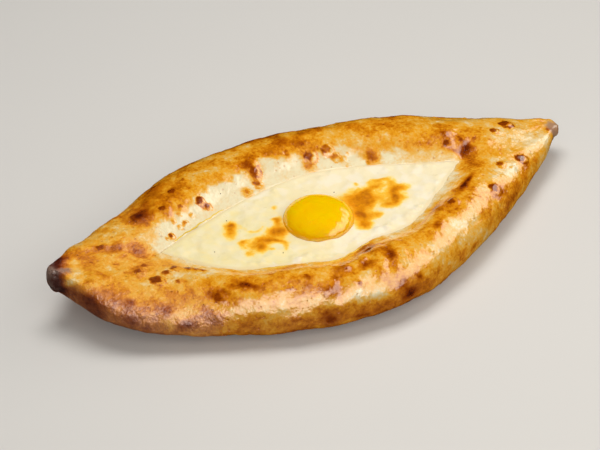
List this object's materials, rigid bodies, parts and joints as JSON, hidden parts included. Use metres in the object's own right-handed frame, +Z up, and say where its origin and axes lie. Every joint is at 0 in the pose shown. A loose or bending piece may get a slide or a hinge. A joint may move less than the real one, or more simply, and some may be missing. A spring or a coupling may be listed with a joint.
{
  "type": "boat-shaped cheese bread",
  "caption": "Long boat-shaped khachapuri: a browned loaf with a rolled rim and pinched, raised tips, filled with baked cheese and egg white, with a whole egg yolk in it.",
  "frame": {"origin": "bottom centre of the bounding box, on the flat underside's plane", "axes": "+X from the left tip to the right tip, +Y to the back of the loaf, +Z up"},
  "size_m": [0.316, 0.1498, 0.037],
  "materials": {
    "crust": "baked golden-brown crust with darker blisters and a thin glaze",
    "filling": "baked white cheese and egg white with browned patches",
    "yolk": "glossy egg yolk"
  },
  "bodies": {
    "root": {"crust": "crust", "filling": "filling", "yolk": "yolk"}
  },
  "joints": []
}
